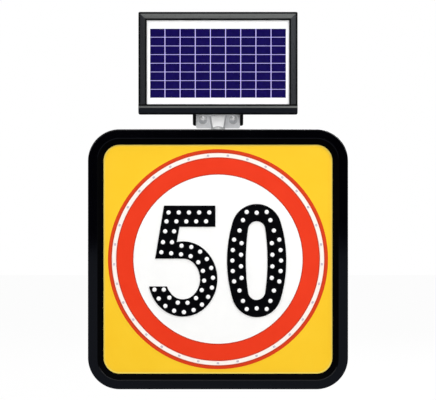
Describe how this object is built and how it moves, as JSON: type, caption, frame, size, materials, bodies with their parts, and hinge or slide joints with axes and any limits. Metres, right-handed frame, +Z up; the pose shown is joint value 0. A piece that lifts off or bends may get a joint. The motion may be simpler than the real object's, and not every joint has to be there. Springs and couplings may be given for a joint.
{
  "type": "solar speed limit sign",
  "caption": "Square road sign with a round speed limit face of lamps, post rails behind, and a tilting solar panel clamped on a short mast on top.",
  "frame": {"origin": "centre of the four post bolts, on the plane where the rails lie against the post", "axes": "+Z up, -Y the way the face looks, +X to the right of the post side's view from the front"},
  "size_m": [0.708, 0.112, 1.0265],
  "materials": {
    "housing_plastic": "fine moulded grain",
    "bezel_plastic": "gloss",
    "seal_rubber": "matt",
    "face_yellow": "semi matt retroreflective sheeting",
    "inner_aluminium": "mill",
    "zinc_fixings": "zinc plated",
    "red_film": "retroreflective film",
    "white_film": "retroreflective film",
    "strip_white": "translucent",
    "led_lilac": "gloss",
    "digit_black": "semi gloss",
    "lamp_lens": "clear diffused lens",
    "board_green": "solder mask",
    "board_parts": "moulded",
    "brass_spacers": "turned",
    "battery_plastic": "moulded",
    "strap_fabric": "woven",
    "gland_plastic": "moulded",
    "rail_aluminium": "satin anodised",
    "mast_steel": "galvanised",
    "clamp_grey": "blasted casting",
    "bracket_black": "textured powder coat",
    "frame_grey": "dark anodised extrusion",
    "panel_glass": "clear tempered",
    "cell_blue": "anti reflective silicon",
    "backsheet_white": "matt"
  },
  "bodies": {
    "housing": {"rear_case": "housing_plastic", "front_bezel": "bezel_plastic", "bezel_gasket": "seal_rubber", "face_sheet": "face_yellow", "retaining_frame": "inner_aluminium", "bezel_screws": "zinc_fixings", "red_ring": "red_film", "white_disc": "white_film", "halo_strip": "strip_white", "halo_leds": "led_lilac", "digit_five": "digit_black", "digit_zero": "digit_black", "five_lamps": "lamp_lens", "zero_lamps": "lamp_lens", "five_board": "board_green", "zero_board": "board_green", "controller_board": "board_green", "controller_parts": "board_parts", "board_standoffs": "brass_spacers", "battery_pack": "battery_plastic", "battery_tray": "zinc_fixings", "battery_strap": "strap_fabric", "battery_hatch": "housing_plastic", "hatch_gasket": "seal_rubber", "hatch_screws": "zinc_fixings", "cable_gland": "gland_plastic", "vent_plug": "gland_plastic", "lower_rail": "rail_aluminium", "upper_rail": "rail_aluminium", "post_nuts": "zinc_fixings", "rail_bolts": "zinc_fixings", "rail_nuts": "zinc_fixings", "mast_stub": "mast_steel", "mast_screws": "zinc_fixings", "mast_seal": "seal_rubber", "mast_cap": "gland_plastic"},
    "swivel": {"front_saddle": "clamp_grey", "rear_saddle": "clamp_grey", "clamp_bolts": "zinc_fixings", "clamp_nuts": "zinc_fixings", "tilt_bolts": "zinc_fixings"},
    "panel": {"panel_bracket": "bracket_black", "bracket_screws": "zinc_fixings", "panel_rail_top": "frame_grey", "panel_rail_bottom": "frame_grey", "panel_rail_left": "frame_grey", "panel_rail_right": "frame_grey", "corner_keys": "inner_aluminium", "panel_glass": "panel_glass", "solar_cells": "cell_blue", "backsheet": "backsheet_white", "junction_box": "gland_plastic", "junction_lid": "gland_plastic", "junction_gland": "gland_plastic"}
  },
  "joints": [
    {"name": "mast_turn", "type": "hinge", "parent": "housing", "child": "swivel", "pos_m": [0, -0.052, 0.381], "axis": [0, 0, 1], "range_deg": [-180, 180]},
    {"name": "panel_tilt", "type": "hinge", "parent": "swivel", "child": "panel", "pos_m": [0, -0.045, 0.381], "axis": [-1, 0, 0], "range_deg": [0, 60]}
  ]
}
